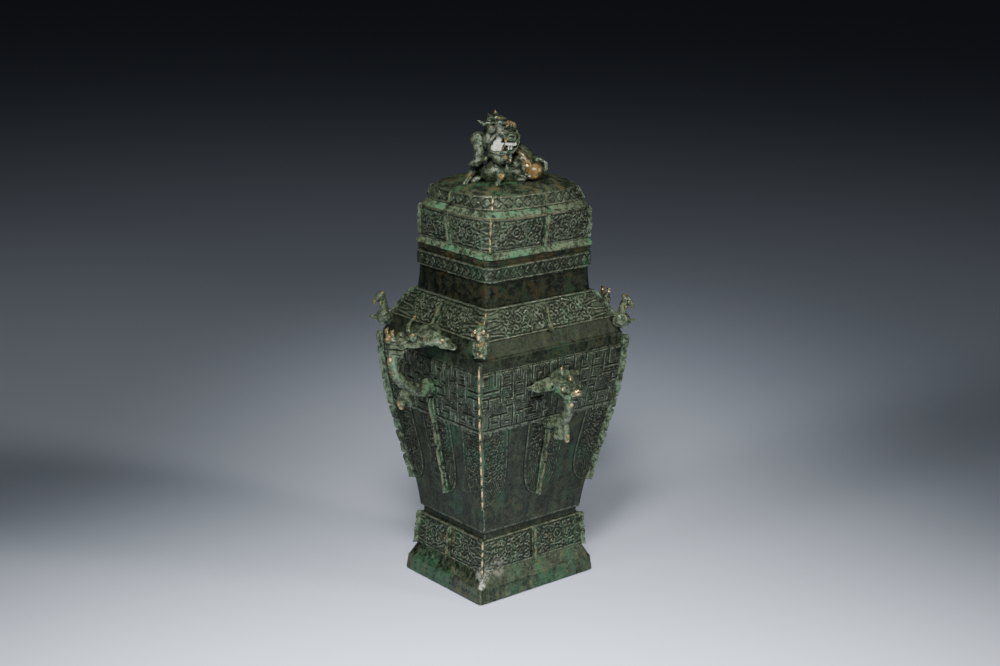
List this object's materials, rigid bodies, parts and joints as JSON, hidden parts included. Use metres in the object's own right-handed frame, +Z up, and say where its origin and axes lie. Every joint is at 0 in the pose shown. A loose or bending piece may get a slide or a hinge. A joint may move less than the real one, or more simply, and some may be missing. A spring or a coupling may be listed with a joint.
{
  "type": "fanglei wine vessel",
  "caption": "Archaistic bronze fanglei, a square-section wine vessel with flanges, beast-head loop handles, corner birds and a loose cover with a lion finial.",
  "frame": {"origin": "middle of the outline's box on the surface that the foot stands on; the vessel's own axis stands 16 mm behind it, because only the front has a low handle", "axes": "+Z up, +X to the right along the broad face that has the low handle, +Y to the back, away from that face"},
  "size_m": [0.3338, 0.2298, 0.5612],
  "materials": {
    "vessel_bronze": "aged cast bronze, dark green patina with verdigris in the recesses and worn grey-brown relief",
    "lid_bronze": "aged cast bronze, paler green patina with brown mottling and brassy wear on the finial"
  },
  "bodies": {
    "root": {"vessel": "vessel_bronze", "lid": "lid_bronze"}
  },
  "joints": []
}
